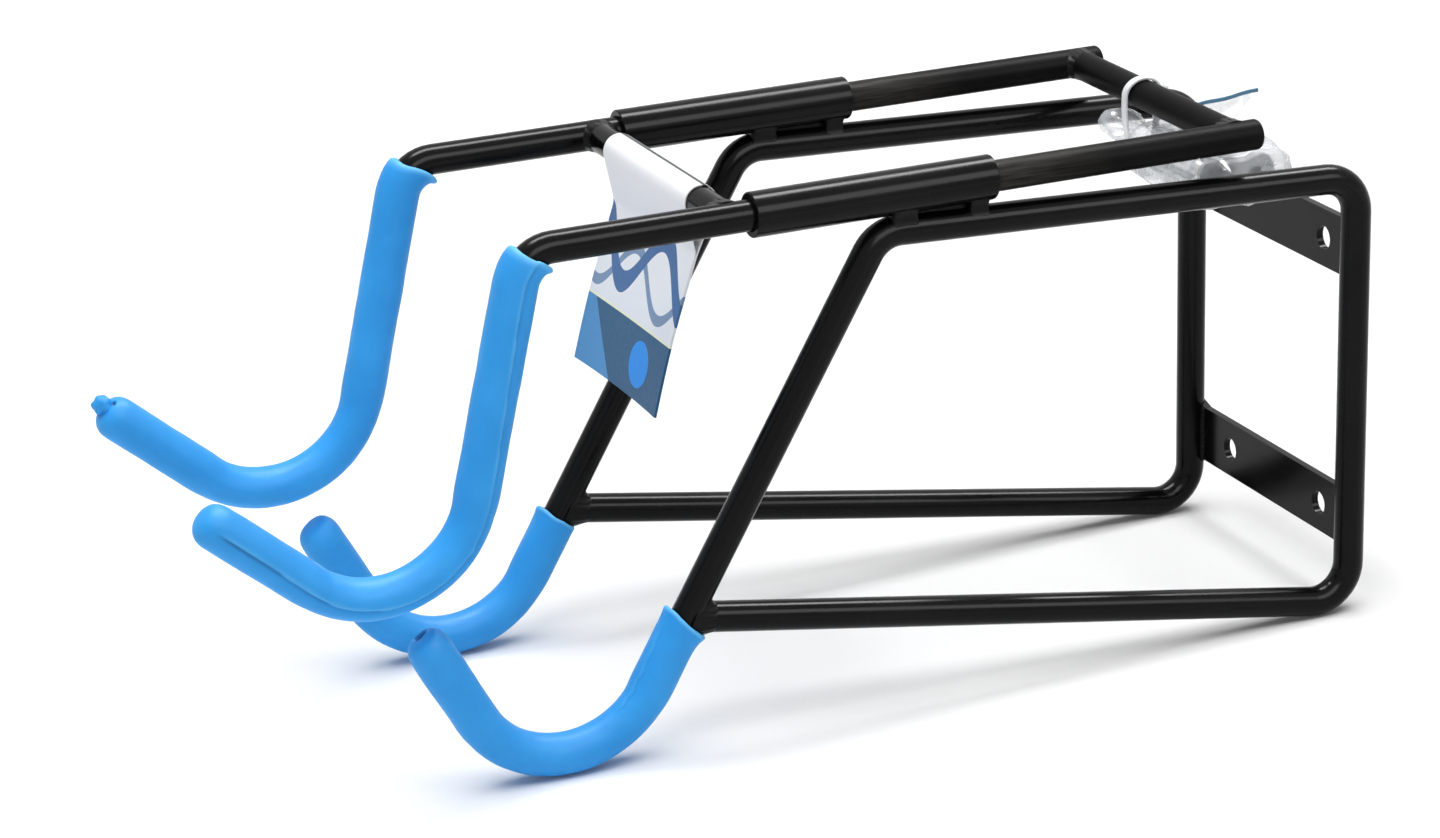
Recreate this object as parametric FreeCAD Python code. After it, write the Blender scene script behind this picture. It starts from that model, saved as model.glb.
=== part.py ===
import FreeCAD, Part
import math
import os

# Wall rack for two bicycles. Two bent round-bar side frames stand on the wall and end in the lower hooks.
# A pair of hooked arms, joined by two cross bars, slides in sleeves on the frames' top rails.
# Millimetres. Origin: centre of the four wall holes, on the wall. +Z up, -Y out from the wall,
# +X to the right of someone who faces the wall. Lengths measured from the wall are called reach.

# Steel stock
bar_d = 12.0
sleeve_d = 17.2
plate_thick = 3.0
plate_height = 24.0

# Side frames
frame_spacing = 128.0
bend_r = 15.0
post_height = 180.0
post_centre_rise = 0.5
top_rail_rise_deg = 2.5
bottom_rail_rise_deg = 9.8
strut_top_reach = 213.8
strut_slope_deg = 59.0

# Hooks, as lines through the middle of the bar: the rise is from the posts' feet, the drop from the arms
hook_r = 40.0
lower_hook_rise = 5.0
lower_tip_slope_deg = 62.0
lower_tip_straight = 33.0
upper_hook_drop = 120.9
upper_tip_slope_deg = 41.0
upper_tip_straight = 42.0

# Guide sleeves
sleeve_front_reach = 265.8
sleeve_length = 99.0
sleeve_edge_r = 0.6

# Sliding arms
arm_rear_reach = 51.0
arm_bend_reach = 355.3
arm_drop_slope_deg = 76.2
arm_end_r = 1.5
rear_bar_setback = 10.0

# Wall holes: the plates' middles are set in from the posts' ends
hole_d = 10.0
hole_spacing_x = 71.0
plate_inset = 33.0

# Foam grips
grip_d = 17.0
upper_grip_start_deg = 40.0

# Weld metal
weld_leg = 2.5
sleeve_weld_width = 10.0
front_sleeve_weld = {"from_rear": 37.4, "length": 12.0}
rear_sleeve_weld = {"from_rear": 7.2, "length": 7.5}
plate_weld_flare = 2.5

# Hang tag
card_thick = 0.5
tag_width = 80.0
tag_fold_drop = 20.0
tag_fold_forward = 2.5
tag_lean_deg = 16.5
tag_flap_length = 64.0

# Cable tie
tie_width = 3.6
tie_thick = 1.2
tie_x = -9.5
tie_head = (5.6, 4.6, 6.4)

# Clear bag of fixings
film_thick = 0.8
neck_d = 9.0
neck_drop = 17.0
neck_length = 8.0
bag_behind_bar = 12.0
bag_top_drop = 10.5
bag_edge_r = 3.0
bag_slack = 1.2
bag_tail_size = (18.0, 22.0, 14.0)
bag_tail_edge_r = 4.0

# Fixings in the bag
fixing_count = 4
screw_d = 6.0
screw_length = 50.0
screw_point = 7.0
screw_head_flats = 10.0
screw_head_thick = 4.0
plug_d = 8.0
plug_length = 40.0
plug_bore = 4.4
plug_slit = 0.8
plug_slit_length = 28.0
washer_d = 18.0
washer_thick = 1.6

# Fits
sleeve_clearance = 0.3
seat_gap = 0.05
grip_clearance = 0.15
rest_gap = 0.3
stop_gap = 0.5
washer_play = 0.4

# Values that follow from the sizes above
bar_r = bar_d / 2
grip_r = grip_d / 2
sleeve_r = sleeve_d / 2
side_x = frame_spacing / 2
post_y = -bar_r
post_top = post_centre_rise + post_height / 2
post_bottom = post_centre_rise - post_height / 2
lower_hook_low = post_bottom + lower_hook_rise
hole_spacing_z = post_height - 2 * plate_inset
front_bar_reach = sleeve_front_reach + stop_gap + weld_leg + bar_r
rear_bar_reach = arm_rear_reach + rear_bar_setback
sides = {"right": 1, "left": -1}
across = FreeCAD.Vector(1, 0, 0)
toward_wall = FreeCAD.Vector(0, 1, 0)
upward = FreeCAD.Vector(0, 0, 1)


def vec(y, z, x=0.0):
    """A point in the plane of one side, at the middle unless x is given."""
    return FreeCAD.Vector(x, y, z)


def outward(slope_deg):
    """Unit direction away from the wall, turned up by the slope."""
    slope = math.radians(slope_deg)
    return vec(-math.cos(slope), math.sin(slope))


def crossing(point_a, direction_a, point_b, direction_b):
    """Where two lines in the side plane cross."""
    gap = point_b - point_a
    turn = direction_a.y * direction_b.z - direction_a.z * direction_b.y
    along = (gap.y * direction_b.z - gap.z * direction_b.y) / turn
    return point_a + direction_a * along


def rounded_path(corners, radii, skip_deg=None):
    """Straight runs joined by tangent arcs. With skip_deg it starts that far into the first arc."""
    edges = []
    run_start = corners[0]
    for index, radius in enumerate(radii):
        corner = corners[index + 1]
        back = (corners[index] - corner).normalize()
        ahead = (corners[index + 2] - corner).normalize()
        half = back.getAngle(ahead) / 2
        arc_start = corner + back * (radius / math.tan(half))
        arc_end = corner + ahead * (radius / math.tan(half))
        inward = (back + ahead).normalize()
        centre = corner + inward * (radius / math.sin(half))
        if skip_deg is not None and index == 0:
            axis = back.cross(ahead)
            turned = FreeCAD.Rotation(axis, -skip_deg).multVec(arc_start - centre)
            arc_start = centre + turned
        else:
            edges.append(Part.LineSegment(run_start, arc_start).toShape())
        spoke = ((arc_start - centre) + (arc_end - centre)).normalize()
        edges.append(Part.Arc(arc_start, centre + spoke * radius, arc_end).toShape())
        run_start = arc_end
    edges.append(Part.LineSegment(run_start, corners[-1]).toShape())
    return Part.Wire(edges)


def rod(path, diameter):
    """A round bar swept along a path."""
    first = path.OrderedEdges[0]
    start = first.valueAt(first.FirstParameter)
    heading = first.tangentAt(first.FirstParameter)
    ring = Part.Wire(Part.makeCircle(diameter / 2, start, heading))
    return path.makePipeShell([ring], True, False)


def cylinder(start, axis, diameter, length):
    """A cylinder from a point along an axis."""
    return Part.makeCylinder(diameter / 2, length, start, axis)


def centred_box(centre, size_x, size_y, size_z):
    """A box about a point."""
    corner = centre - FreeCAD.Vector(size_x / 2, size_y / 2, size_z / 2)
    return Part.makeBox(size_x, size_y, size_z, corner)


def hook_corner(line_point, line_slope_deg, tip_slope_deg, low):
    """Corner between a descending line and the hook's tip, so that the hook's arc just reaches a height."""
    descent = outward(-line_slope_deg)
    normal = vec(descent.z, -descent.y)
    touch_z = low + hook_r - hook_r * normal.z
    touch = line_point + descent * ((touch_z - line_point.z) / descent.z)
    turn = math.radians(line_slope_deg + tip_slope_deg)
    return touch + descent * (hook_r * math.tan(turn / 2))


def hook_tip(corner, line_slope_deg, tip_slope_deg, straight):
    """End of the bar, past the hook's arc."""
    turn = math.radians(line_slope_deg + tip_slope_deg)
    return corner + outward(tip_slope_deg) * (hook_r * math.tan(turn / 2) + straight)


def belt_face(centre_a, radius_a, centre_b, radius_b):
    """Outline round two circles in a side plane, as a belt runs round two pulleys."""
    gap = centre_b - centre_a
    lead = math.atan2(gap.z, gap.y)
    spread = math.acos((radius_a - radius_b) / gap.Length)
    points = []
    for centre, radius, middle in ((centre_a, radius_a, lead + math.pi), (centre_b, radius_b, lead)):
        for angle in (lead - spread, middle, lead + spread):
            points.append(centre + vec(math.cos(angle), math.sin(angle)) * radius)
    low_a, far_a, high_a, low_b, far_b, high_b = points
    edges = [
        Part.Arc(high_a, far_a, low_a).toShape(),
        Part.LineSegment(low_a, low_b).toShape(),
        Part.Arc(low_b, far_b, high_b).toShape(),
        Part.LineSegment(high_b, high_a).toShape(),
    ]
    return Part.Face(Part.Wire(edges))


def extrude_x(face, x_start, length):
    """A side-plane face pushed along X."""
    solid = face.extrude(across * length)
    solid.translate(across * x_start)
    return solid


def moved(shape, x):
    """A copy of a shape moved sideways."""
    copy = shape.copy()
    copy.translate(across * x)
    return copy


parts = {}

# Lines of one side frame
top_rear = vec(post_y, post_top)
bottom_rear = vec(post_y, post_bottom)
top_rise = math.tan(math.radians(top_rail_rise_deg))
top_front = vec(-strut_top_reach, post_top + (strut_top_reach + post_y) * top_rise)
strut_down = outward(-strut_slope_deg)
bottom_out = outward(bottom_rail_rise_deg)
junction = crossing(top_front, strut_down, bottom_rear, bottom_out)
lower_corner = hook_corner(top_front, strut_slope_deg, lower_tip_slope_deg, lower_hook_low)
lower_tip = hook_tip(lower_corner, strut_slope_deg, lower_tip_slope_deg, lower_tip_straight)

# The bottom rail is cut square, so its nearer edge just reaches the strut
meet = math.radians(bottom_rail_rise_deg + strut_slope_deg)
rail_setback = (bar_r + seat_gap + bar_r * math.cos(meet)) / math.sin(meet)
rail_end = junction - bottom_out * rail_setback

# Side frames
frame_corners = [lower_tip, lower_corner, top_front, top_rear, bottom_rear, rail_end]
frame_radii = [hook_r, bend_r, bend_r, bend_r]
frame_path = rounded_path(frame_corners, frame_radii)
frame_bar = rod(frame_path, bar_d)
frame_seat = rod(frame_path, bar_d + 2 * seat_gap)
rail_end_seat = cylinder(rail_end - bottom_out * seat_gap, bottom_out, bar_d + 4 * seat_gap, 2 * seat_gap)
for side, sign in sides.items():
    parts[side + "_side_frame"] = moved(frame_bar, sign * side_x)

# Height of the sleeves: their lowest line clears the highest line of the rail at the front bend
front_turn = math.radians(strut_slope_deg + top_rail_rise_deg)
bend_start = top_front - outward(top_rail_rise_deg) * (bend_r * math.tan(front_turn / 2))
rail_crest = bend_start.z + bar_r / math.cos(math.radians(top_rail_rise_deg))
arm_z = rail_crest + rest_gap + sleeve_r

# Guide sleeves
sleeve_start = vec(-sleeve_front_reach, arm_z)
sleeve_outside = cylinder(sleeve_start, toward_wall, sleeve_d, sleeve_length)
end_edges = [edge for edge in sleeve_outside.Edges if isinstance(edge.Curve, Part.Circle)]
sleeve_body = sleeve_outside.makeFillet(sleeve_edge_r, end_edges)
sleeve_bore = cylinder(sleeve_start, toward_wall, bar_d + 2 * sleeve_clearance, sleeve_length)
sleeve = sleeve_body.cut(sleeve_bore)
sleeve_seat = cylinder(sleeve_start, toward_wall, sleeve_d + 2 * seat_gap, sleeve_length)
for side, sign in sides.items():
    parts[side + "_guide_sleeve"] = moved(sleeve, sign * side_x)

# Weld deposits between each sleeve and its rail
deposits = []
for weld in (front_sleeve_weld, rear_sleeve_weld):
    reach = sleeve_front_reach - sleeve_length + weld["from_rear"]
    rail_z = post_top + (reach + post_y) * top_rise
    middle = vec(-reach, (rail_z + arm_z) / 2)
    block = centred_box(middle, sleeve_weld_width, weld["length"], arm_z - rail_z)
    deposits.append(block.cut(frame_seat).cut(sleeve_seat))
for side, sign in sides.items():
    parts[side + "_sleeve_welds"] = Part.makeCompound([moved(deposit, sign * side_x) for deposit in deposits])

# Weld collars where the bottom rails end on the struts, flush with the rails' undersides
collar_back = rail_end - bottom_out * weld_leg
collar_length = rail_setback + weld_leg - bar_r * math.sin(meet)
collar = Part.makeCone(bar_r + seat_gap, bar_r + weld_leg, collar_length, collar_back, bottom_out)
rail_under = vec(-bottom_out.z, bottom_out.y)
under_front = junction + rail_under * bar_r
under_rear = under_front - bottom_out * hook_r
sill = [under_front, under_rear, under_rear + rail_under * hook_r, under_front + rail_under * hook_r]
below_rail = extrude_x(Part.Face(Part.makePolygon(sill + sill[:1])), -hook_r, 2 * hook_r)
collar = collar.cut(frame_seat).cut(rail_end_seat).cut(below_rail)
parts["rail_welds"] = Part.makeCompound([moved(collar, sign * side_x) for sign in sides.values()])

# Wall plates, flush with the posts' backs
post_side = math.sqrt(bar_r ** 2 - (bar_r - plate_thick) ** 2)
plate_end = side_x - post_side - seat_gap
plate_names = {"upper": hole_spacing_z / 2, "lower": -hole_spacing_z / 2}
for name, plate_z in plate_names.items():
    plate = centred_box(vec(-plate_thick / 2, plate_z), 2 * plate_end, plate_thick, plate_height)
    for sign in sides.values():
        hole_start = vec(-plate_thick, plate_z, sign * hole_spacing_x / 2)
        plate = plate.cut(cylinder(hole_start, toward_wall, hole_d, plate_thick))
    parts[name + "_wall_plate"] = plate

# Weld metal between the plates' ends and the posts, flared above and below
post_seat = cylinder(vec(post_y, post_bottom, side_x), upward, bar_d + 2 * seat_gap, post_height)
for name, plate_z in plate_names.items():
    half_height = plate_height / 2
    seat_height = plate_height + 2 * seat_gap
    outline = [
        vec(0, plate_z - half_height - plate_weld_flare, side_x),
        vec(0, plate_z + half_height + plate_weld_flare, side_x),
        vec(0, plate_z + half_height, plate_end - plate_weld_flare),
        vec(0, plate_z - half_height, plate_end - plate_weld_flare),
    ]
    wedge = Part.Face(Part.makePolygon(outline + outline[:1])).extrude(toward_wall * -plate_thick)
    plate_seat = centred_box(vec(-plate_thick / 2, plate_z), 2 * (plate_end + seat_gap), plate_thick, seat_height)
    right_bead = wedge.cut(plate_seat).cut(post_seat)
    left_bead = right_bead.mirror(FreeCAD.Vector(), across)
    parts[name + "_plate_welds"] = Part.makeCompound([right_bead, left_bead])

# Lines of one sliding arm
arm_rear = vec(-arm_rear_reach, arm_z)
arm_bend = vec(-arm_bend_reach, arm_z)
upper_hook_low = arm_z - upper_hook_drop
upper_corner = hook_corner(arm_bend, arm_drop_slope_deg, upper_tip_slope_deg, upper_hook_low)
upper_tip = hook_tip(upper_corner, arm_drop_slope_deg, upper_tip_slope_deg, upper_tip_straight)

# Sliding arms
arm_corners = [arm_rear, arm_bend, upper_corner, upper_tip]
arm_radii = [bend_r, hook_r]
arm_path = rounded_path(arm_corners, arm_radii)
arm_bar = rod(arm_path, bar_d)
rear_edge = [edge for edge in arm_bar.Edges if abs(edge.CenterOfMass.y - arm_rear.y) < seat_gap]
arm_bar = arm_bar.makeFillet(arm_end_r, rear_edge)
for side, sign in sides.items():
    parts[side + "_upper_arm"] = moved(arm_bar, sign * side_x)

# Cross bars between the arms, and the weld collars at their ends
bar_half = side_x - bar_r - seat_gap
seat_half = side_x - bar_r
arm_seat_start = vec(-arm_bend_reach, arm_z, side_x)
arm_seat = cylinder(arm_seat_start, toward_wall, bar_d + 2 * seat_gap, arm_bend_reach)
for name, reach in {"front": front_bar_reach, "rear": rear_bar_reach}.items():
    bar_seat = cylinder(vec(-reach, arm_z, -seat_half), across, bar_d + 2 * seat_gap, 2 * seat_half)
    bead_start = vec(-reach, arm_z, bar_half - weld_leg)
    bead = Part.makeCone(bar_r + seat_gap, bar_r + weld_leg, 2 * weld_leg, bead_start, across)
    right_bead = bead.cut(bar_seat).cut(arm_seat)
    left_bead = right_bead.mirror(FreeCAD.Vector(), across)
    parts[name + "_cross_bar"] = cylinder(vec(-reach, arm_z, -bar_half), across, bar_d, 2 * bar_half)
    parts[name + "_bar_welds"] = Part.makeCompound([right_bead, left_bead])


def grip(outer_corners, radii, skip_deg=None):
    """Foam tube over a hook, closed by a dome past the end of the bar."""
    tip = outer_corners[-1]
    heading = (tip - outer_corners[-2]).normalize()
    cover_end = tip + heading * rest_gap
    corners = outer_corners[:-1] + [cover_end]
    path = rounded_path(corners, radii, skip_deg)
    tube = rod(path, grip_d).cut(rod(path, bar_d + 2 * grip_clearance))
    dome = Part.makeSphere(grip_r, cover_end, heading, 0, 90, 360)
    return tube.fuse(dome).removeSplitter()


# Foam grips
strut_back = vec(-strut_down.z, strut_down.y)
strut_rear = junction + strut_back * bar_r
grip_limit = crossing(strut_rear, strut_down, junction + rail_under * (bar_r + rest_gap), bottom_out)
lower_grip_start = grip_limit - strut_back * bar_r
lower_grip = grip([lower_grip_start, lower_corner, lower_tip], [hook_r])
upper_grip = grip(arm_corners, arm_radii, upper_grip_start_deg)
for side, sign in sides.items():
    parts[side + "_lower_grip"] = moved(lower_grip, sign * side_x)
    parts[side + "_upper_grip"] = moved(upper_grip, sign * side_x)

# Hang tag: a card folded over the front cross bar, its two flaps glued together under it
fold_centre = vec(-front_bar_reach, arm_z)
fold_r = bar_r + rest_gap
fold_foot = fold_centre + vec(-tag_fold_forward, -tag_fold_drop)
flap_down = outward(tag_lean_deg - 90)
loop = belt_face(fold_centre, fold_r + card_thick, fold_foot, card_thick)
loop_room = belt_face(fold_centre, fold_r, fold_foot - flap_down * card_thick, seat_gap)
flap_across = vec(flap_down.z, -flap_down.y) * card_thick
flap_end = fold_foot + flap_down * tag_flap_length
outline = [fold_foot + flap_across, fold_foot - flap_across, flap_end - flap_across, flap_end + flap_across]
flap = Part.Face(Part.makePolygon(outline + outline[:1]))
tag_x = -tag_width / 2
card = extrude_x(loop, tag_x, tag_width).fuse(extrude_x(flap, tag_x, tag_width)).removeSplitter()
parts["hang_tag"] = card.cut(extrude_x(loop_room, tag_x, tag_width))

# Cable tie round the rear cross bar and the neck of the bag
rear_centre = vec(-rear_bar_reach, arm_z)
neck_centre = rear_centre - vec(0, neck_drop)
tie_bar_r = bar_r + rest_gap
tie_neck_r = neck_d / 2 + rest_gap
tie_outer = belt_face(rear_centre, tie_bar_r + tie_thick, neck_centre, tie_neck_r + tie_thick)
tie_inner = belt_face(rear_centre, tie_bar_r, neck_centre, tie_neck_r)
band = extrude_x(tie_outer.cut(tie_inner), tie_x - tie_width / 2, tie_width)
head_y = rear_centre.y + tie_bar_r + tie_head[1] / 2
head_centre = vec(head_y, (rear_centre.z + neck_centre.z) / 2, tie_x)
tie_room = extrude_x(tie_inner, tie_x - tie_head[0], 2 * tie_head[0])
parts["cable_tie"] = band.fuse(centred_box(head_centre, *tie_head).cut(tie_room)).removeSplitter()

# Room that the fixings take up in the bag: two rows of screws beside two rows of plugs and the washers
head_corner = screw_head_flats / math.sqrt(3)
screw_pitch_y = head_corner + screw_d / 2 + rest_gap
screw_pitch_z = screw_head_flats / 2 + screw_d / 2 + rest_gap
plug_pitch = plug_d + rest_gap
washer_pitch = washer_thick + rest_gap
screw_reach = screw_head_thick + screw_length
contents = (
    max(screw_reach, plug_length + rest_gap + fixing_count * washer_pitch),
    2 * head_corner + screw_pitch_y + rest_gap + max(plug_d + plug_pitch, washer_d),
    max(screw_head_flats + screw_pitch_z, washer_d),
)

# Clear bag: a hollow pouch with a drawn-in neck through the tie and a short tail past it
pouch_size = [extent + 2 * (bag_slack + film_thick) for extent in contents]
pouch_start = tie_x + neck_length / 2
pouch_z = arm_z - bag_top_drop - pouch_size[2] / 2
pouch_centre = vec(bag_behind_bar - rear_bar_reach, pouch_z, pouch_start + pouch_size[0] / 2)
pouch = centred_box(pouch_centre, *pouch_size)
pouch = pouch.makeFillet(bag_edge_r, pouch.Edges)
hollow = centred_box(pouch_centre, *[size - 2 * film_thick for size in pouch_size])
hollow = hollow.makeFillet(bag_edge_r - film_thick, hollow.Edges)
tail_x = tie_x - neck_length / 2 - bag_tail_size[0] / 2
tail = centred_box(vec(neck_centre.y, neck_centre.z, tail_x), *bag_tail_size)
tail = tail.makeFillet(bag_tail_edge_r, tail.Edges)
neck_start = vec(neck_centre.y, neck_centre.z, tail_x)
neck = cylinder(neck_start, across, neck_d, pouch_start + bag_edge_r - tail_x)
parts["fixings_bag"] = pouch.multiFuse([tail, neck]).cut(hollow)


def wall_screw():
    """Hexagon-head wood screw along +X, its head's outer face at the origin, two flats level."""
    corners = []
    for step in range(6):
        angle = math.radians(60 * step)
        corners.append(vec(head_corner * math.cos(angle), head_corner * math.sin(angle)))
    head = Part.Face(Part.makePolygon(corners + corners[:1])).extrude(across * screw_head_thick)
    shank = cylinder(across * screw_head_thick, across, screw_d, screw_length - screw_point)
    point_start = across * (screw_head_thick + screw_length - screw_point)
    point = Part.makeCone(screw_d / 2, 0, screw_point, point_start, across)
    return head.multiFuse([shank, point]).removeSplitter()


def wall_plug():
    """Ribless nylon plug along +X, slit from its far end."""
    body = cylinder(FreeCAD.Vector(), across, plug_d, plug_length)
    body = body.cut(cylinder(FreeCAD.Vector(), across, plug_bore, plug_length))
    slit_centre = across * (plug_length - plug_slit_length / 2)
    return body.cut(centred_box(slit_centre, plug_slit_length, 2 * plug_d, plug_slit))


# Fixings lie on the floor of the bag, screws head to point beside the plugs, washers past the plugs
floor_z = pouch_z - pouch_size[2] / 2 + film_thick + rest_gap
first_x = pouch_start + film_thick + bag_slack
screw_y = pouch_centre.y - pouch_size[1] / 2 + film_thick + rest_gap + head_corner
plug_y = screw_y + screw_pitch_y + head_corner + rest_gap + plug_d / 2
screws = []
plugs = []
washers = []
for index in range(fixing_count):
    column = index % 2
    row = index // 2
    screw = wall_screw()
    if (column + row) % 2:
        screw.rotate(FreeCAD.Vector(), upward, 180)
        screw.translate(across * screw_reach)
    screw_z = floor_z + screw_head_flats / 2 + row * screw_pitch_z
    screw.translate(vec(screw_y + column * screw_pitch_y, screw_z, first_x))
    screws.append(screw)
    plug = wall_plug()
    plug_z = floor_z + plug_d / 2 + row * plug_pitch
    plug.translate(vec(plug_y + column * plug_pitch, plug_z, first_x))
    plugs.append(plug)
    washer_x = first_x + plug_length + rest_gap + index * washer_pitch
    washer_centre = vec(plug_y + plug_pitch / 2, floor_z + washer_d / 2, washer_x)
    washer = cylinder(washer_centre, across, washer_d, washer_thick)
    washers.append(washer.cut(cylinder(washer_centre, across, screw_d + washer_play, washer_thick)))
parts["wall_screws"] = Part.makeCompound(screws)
parts["wall_plugs"] = Part.makeCompound(plugs)
parts["wall_washers"] = Part.makeCompound(washers)

os.makedirs("parts", exist_ok=True)
for name, shape in parts.items():
    shape.exportStep(os.path.join("parts", name + ".step"))
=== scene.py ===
import math

import bpy
from mathutils import Matrix, Vector, noise


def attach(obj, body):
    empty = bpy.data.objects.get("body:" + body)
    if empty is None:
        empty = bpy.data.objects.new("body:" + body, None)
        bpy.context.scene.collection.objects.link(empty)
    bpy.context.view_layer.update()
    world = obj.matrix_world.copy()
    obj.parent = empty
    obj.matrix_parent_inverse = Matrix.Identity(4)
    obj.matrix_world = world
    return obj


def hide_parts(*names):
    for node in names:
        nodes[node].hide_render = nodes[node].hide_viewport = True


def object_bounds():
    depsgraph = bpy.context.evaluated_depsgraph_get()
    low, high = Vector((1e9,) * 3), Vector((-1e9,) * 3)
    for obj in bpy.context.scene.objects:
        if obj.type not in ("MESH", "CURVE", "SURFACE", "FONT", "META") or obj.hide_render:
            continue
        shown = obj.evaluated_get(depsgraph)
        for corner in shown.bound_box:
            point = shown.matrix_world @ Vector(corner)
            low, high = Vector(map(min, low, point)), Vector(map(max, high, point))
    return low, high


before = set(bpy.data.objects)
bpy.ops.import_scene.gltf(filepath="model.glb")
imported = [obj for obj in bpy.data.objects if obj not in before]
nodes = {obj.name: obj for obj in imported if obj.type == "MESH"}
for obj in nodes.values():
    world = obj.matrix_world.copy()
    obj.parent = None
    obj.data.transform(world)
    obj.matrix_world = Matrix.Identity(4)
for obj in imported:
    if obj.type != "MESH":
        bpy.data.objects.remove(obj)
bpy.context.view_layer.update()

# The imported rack, in metres: +Z up, +Y into the wall, -Y out towards the hooks.
mm = 0.001


# Side frames, guide sleeves and wall plates
# Bent solid bar, pipe and flat bar in mild steel, welded, then sprayed with black powder and baked.
# The baked skin is satin, with a fine orange peel; these pieces keep the shapes they were packed with.

coat_black = (0.0020, 0.0020, 0.0021)
coat_worn = (0.0042, 0.0042, 0.0044)
coat_dust = (0.06, 0.06, 0.063)
coat_gloss = (0.16, 0.24)
coat_specular = 0.10
coat_peel = 0.10
peel_depth = 0.0002
coat_grain = (26.0, 1500.0, 2600.0)


def add_node(tree, kind, values=None, **settings):
    """A shader node with its settings and plain input values."""
    node = tree.nodes.new(kind)
    for name, value in settings.items():
        setattr(node, name, value)
    for socket, value in (values or {}).items():
        node.inputs[socket].default_value = value
    return node


def wire(tree, *links):
    """Links, each from an output to an input."""
    for output, socket in links:
        tree.links.new(output, socket)


def new_material(name, **principled):
    """A material with one Principled shader whose constant values stand on its own sockets."""
    material = bpy.data.materials.new(name)
    material.use_nodes = True
    shader = material.node_tree.nodes["Principled BSDF"]
    for socket, value in principled.items():
        shader.inputs[socket.replace("_", " ")].default_value = value
    return material, material.node_tree, shader


def blend_colours(tree, mask, low, high):
    """A colour that goes from low to high with a mask."""
    mix = add_node(tree, "ShaderNodeMix", data_type="RGBA")
    wire(tree, (mask, mix.inputs["Factor"]))
    # The node's values and vectors come first; inputs 6 and 7 and output 2 are its colours.
    for socket, colour in ((6, low), (7, high)):
        if hasattr(colour, "is_linked"):
            wire(tree, (colour, mix.inputs[socket]))
        else:
            mix.inputs[socket].default_value = (*colour, 1)
    return mix.outputs[2]


def spread(tree, value, low, high, start=0.0, end=1.0):
    """A value moved from one range to another, held at both ends."""
    ends = {"From Min": start, "From Max": end, "To Min": low, "To Max": high}
    node = add_node(tree, "ShaderNodeMapRange", ends)
    wire(tree, (value, node.inputs["Value"]))
    return node.outputs["Result"]


def add_bump(tree, shader, height, strength, distance):
    """Bump from a height, on the shader's normal."""
    bump = add_node(tree, "ShaderNodeBump", {"Strength": strength, "Distance": distance})
    wire(tree, (height, bump.inputs["Height"]), (bump.outputs["Normal"], shader.inputs["Normal"]))


skin_grain = bpy.data.node_groups.new("skin_grain", "ShaderNodeTree")
for socket in ("Blotch Scale", "Grain Scale", "Speck Scale"):
    skin_grain.interface.new_socket(socket, in_out="INPUT", socket_type="NodeSocketFloat")
for socket in ("Blotch", "Grain", "Speck"):
    skin_grain.interface.new_socket(socket, in_out="OUTPUT", socket_type="NodeSocketFloat")
grain_in = skin_grain.nodes.new("NodeGroupInput")
grain_out = skin_grain.nodes.new("NodeGroupOutput")
grain_place = skin_grain.nodes.new("ShaderNodeTexCoord")
for socket, detail in (("Blotch", 3.0), ("Grain", 2.0), ("Speck", 1.0)):
    cloud = add_node(skin_grain, "ShaderNodeTexNoise", {"Detail": detail, "Roughness": 0.55})
    wire(skin_grain,
         (grain_place.outputs["Object"], cloud.inputs["Vector"]),
         (grain_in.outputs[socket + " Scale"], cloud.inputs["Scale"]),
         (cloud.outputs["Fac"], grain_out.inputs[socket]))


def add_grain(tree, blotch, grain, speck):
    """The shared skin grain in a material, at that material's scales (per metre)."""
    scales = {"Blotch Scale": blotch, "Grain Scale": grain, "Speck Scale": speck}
    return add_node(tree, "ShaderNodeGroup", scales, node_tree=skin_grain)


def powder_coat(name, base, worn, peel, gloss):
    """Baked black powder: fine peel, uneven gloss, a few pale specks of dust."""
    material, tree, shader = new_material(name, Specular_IOR_Level=coat_specular)
    grain = add_grain(tree, *coat_grain)
    tone = blend_colours(tree, spread(tree, grain.outputs["Blotch"], 0, 1, 0.35, 0.7), base, worn)
    dust = spread(tree, grain.outputs["Speck"], 0, 0.3, 0.72, 0.8)
    wire(tree,
         (blend_colours(tree, dust, tone, coat_dust), shader.inputs["Base Color"]),
         (spread(tree, grain.outputs["Blotch"], *gloss, 0.3, 0.75), shader.inputs["Roughness"]))
    add_bump(tree, shader, grain.outputs["Grain"], peel, peel_depth)
    return material


def finish_node(name, material):
    """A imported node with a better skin."""
    nodes[name].data.materials.clear()
    nodes[name].data.materials.append(material)


coat = powder_coat("black_powder_coat", coat_black, coat_worn, coat_peel, coat_gloss)
for side in ("right", "left"):
    finish_node(side + "_side_frame", coat)
    finish_node(side + "_guide_sleeve", coat)
for level in ("upper", "lower"):
    finish_node(level + "_wall_plate", coat)


# Welds of the fixed frame
# Weld metal under the same powder: a ring where each bottom rail ends on its strut, two short deposits
# that join each sleeve to its rail, and a bead down each end of a wall plate.

side_x = 64.0
bar_r = 6.0
sleeve_r = 8.6
sleeve_z = 114.09
top_rail_z = 90.5
top_rail_slope = math.tan(math.radians(2.5))
weld_coat = powder_coat(
    "coated_weld_metal", (0.0024, 0.0024, 0.0025), (0.005, 0.005, 0.0052), 0.25, (0.30, 0.42))


def deselect_all():
    """Nothing is selected, so the next operator acts on the new piece alone."""
    if bpy.context.object and bpy.context.object.mode != "OBJECT":
        bpy.ops.object.mode_set(mode="OBJECT")
    bpy.ops.object.select_all(action="DESELECT")


def apply_modifier(piece, kind, **settings):
    """One modifier, set and applied."""
    modifier = piece.modifiers.new(kind.lower(), kind)
    for name, value in settings.items():
        setattr(modifier, name, value)
    bpy.context.view_layer.objects.active = piece
    bpy.ops.object.modifier_apply(modifier=modifier.name)


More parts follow.
